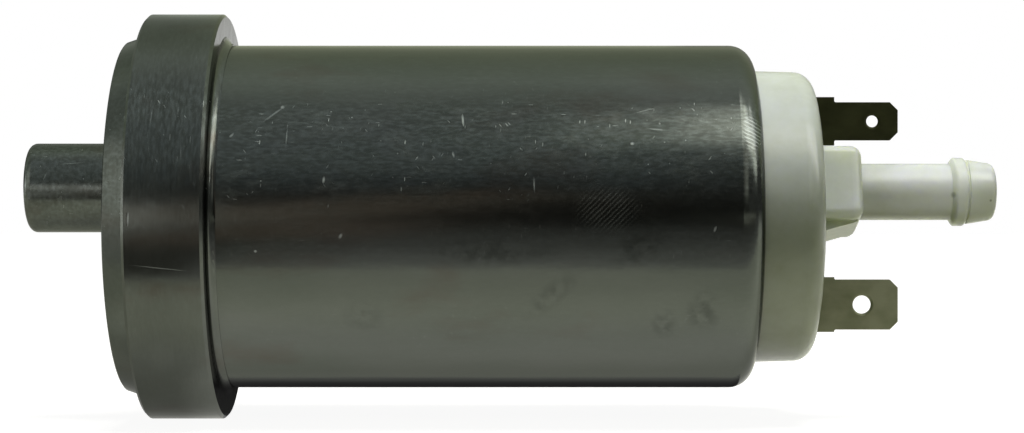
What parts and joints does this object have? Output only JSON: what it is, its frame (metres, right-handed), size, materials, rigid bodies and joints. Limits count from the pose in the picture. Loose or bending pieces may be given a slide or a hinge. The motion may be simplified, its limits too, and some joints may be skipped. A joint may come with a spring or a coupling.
{
  "type": "fuel pump",
  "caption": "Electric in-tank fuel pump: steel tube body with a wide collar, off-centre inlet stub, white end cap with barbed outlet and blade terminals.",
  "frame": {"origin": "on the pump axis, where a clamp grips the plain tube, within 1 mm of its middle", "axes": "+X along the pump axis from the inlet stub to the outlet nipple, +Z towards the small blade terminal"},
  "size_m": [0.1213, 0.0508, 0.0508],
  "materials": {
    "plated_steel": "dark passivated steel, drawn and lightly scratched",
    "collar_steel": "dark passivated steel, turned",
    "cover_metal": "dark passivated metal, turned",
    "white_plastic": "off-white moulded plastic, slightly translucent",
    "dark_terminal": "dark stamped blade",
    "olive_terminal": "tinned stamped blade",
    "sintered_steel": "sintered steel, ground faces",
    "bronze": "sintered bronze",
    "spring_steel": "drawn spring wire",
    "ball_steel": "polished ball",
    "screw_steel": "zinc plated",
    "core_steel": "stack of stamped sheets",
    "copper": "enamelled copper wire",
    "magnet_ferrite": "sintered ferrite",
    "carbon": "pressed carbon",
    "dark_plastic": "moulded plastic",
    "seal_rubber": "moulded rubber",
    "washer_plastic": "low friction plastic"
  },
  "bodies": {
    "pump_body": {"housing_tube": "plated_steel", "mounting_collar": "collar_steel", "inlet_cover": "cover_metal", "inlet_stub": "cover_metal", "inlet_cover_seal": "seal_rubber", "pump_ring": "sintered_steel", "outlet_plate": "sintered_steel", "pump_screws": "screw_steel", "front_bearing": "bronze", "relief_spring": "spring_steel", "magnet_upper": "magnet_ferrite", "magnet_lower": "magnet_ferrite", "magnet_clip_front": "spring_steel", "magnet_clip_back": "spring_steel", "brush_holder": "dark_plastic", "rear_bearing": "bronze", "brush_spring_positive": "spring_steel", "brush_spring_negative": "spring_steel", "brush_lead_positive": "copper", "brush_lead_negative": "copper", "terminal_small": "dark_terminal", "terminal_large": "olive_terminal", "end_cap": "white_plastic", "end_cap_seal": "seal_rubber", "check_valve_seat": "dark_plastic", "check_valve_spring": "spring_steel"},
    "armature": {"armature_shaft": "ball_steel", "armature_core": "core_steel", "armature_winding": "copper", "shaft_spacer": "dark_plastic", "front_thrust_washer": "washer_plastic", "rear_thrust_washer": "washer_plastic", "commutator_hub": "dark_plastic", "commutator_bars": "copper", "inner_rotor": "sintered_steel"},
    "outer_rotor": {"outer_rotor": "sintered_steel"},
    "relief_valve": {"relief_ball": "ball_steel"},
    "check_valve": {"check_valve_poppet": "washer_plastic"},
    "positive_brush": {"brush_positive": "carbon"},
    "negative_brush": {"brush_negative": "carbon"}
  },
  "joints": [
    {"name": "armature_spin", "type": "hinge", "parent": "pump_body", "child": "armature", "pos_m": [0, 0, 0], "axis": [1, 0, 0], "continuous": true},
    {"name": "outer_rotor_spin", "type": "hinge", "parent": "pump_body", "child": "outer_rotor", "pos_m": [0, -0.00115, 0], "axis": [1, 0, 0], "continuous": true},
    {"name": "relief_lift", "type": "slide", "parent": "pump_body", "child": "relief_valve", "axis": [-1, 0, 0], "range_m": [0, 0.0012], "stiffness_N_per_m": 2000, "springref_m": -0.00135, "deforming": ["relief_spring"]},
    {"name": "check_lift", "type": "slide", "parent": "pump_body", "child": "check_valve", "axis": [1, 0, 0], "range_m": [0, 0.002], "stiffness_N_per_m": 200, "springref_m": -0.0015, "deforming": ["check_valve_spring"]},
    {"name": "positive_brush_slide", "type": "slide", "parent": "pump_body", "child": "positive_brush", "axis": [1, 0, 0], "range_m": [0, 0.0015], "stiffness_N_per_m": 150, "springref_m": -0.008, "deforming": ["brush_spring_positive", "brush_lead_positive"]},
    {"name": "negative_brush_slide", "type": "slide", "parent": "pump_body", "child": "negative_brush", "axis": [1, 0, 0], "range_m": [0, 0.0015], "stiffness_N_per_m": 150, "springref_m": -0.008, "deforming": ["brush_spring_negative", "brush_lead_negative"]}
  ],
  "couplings": [
    {"joint": "outer_rotor_spin", "follows": "armature_spin", "ratio": 0.85714}
  ]
}
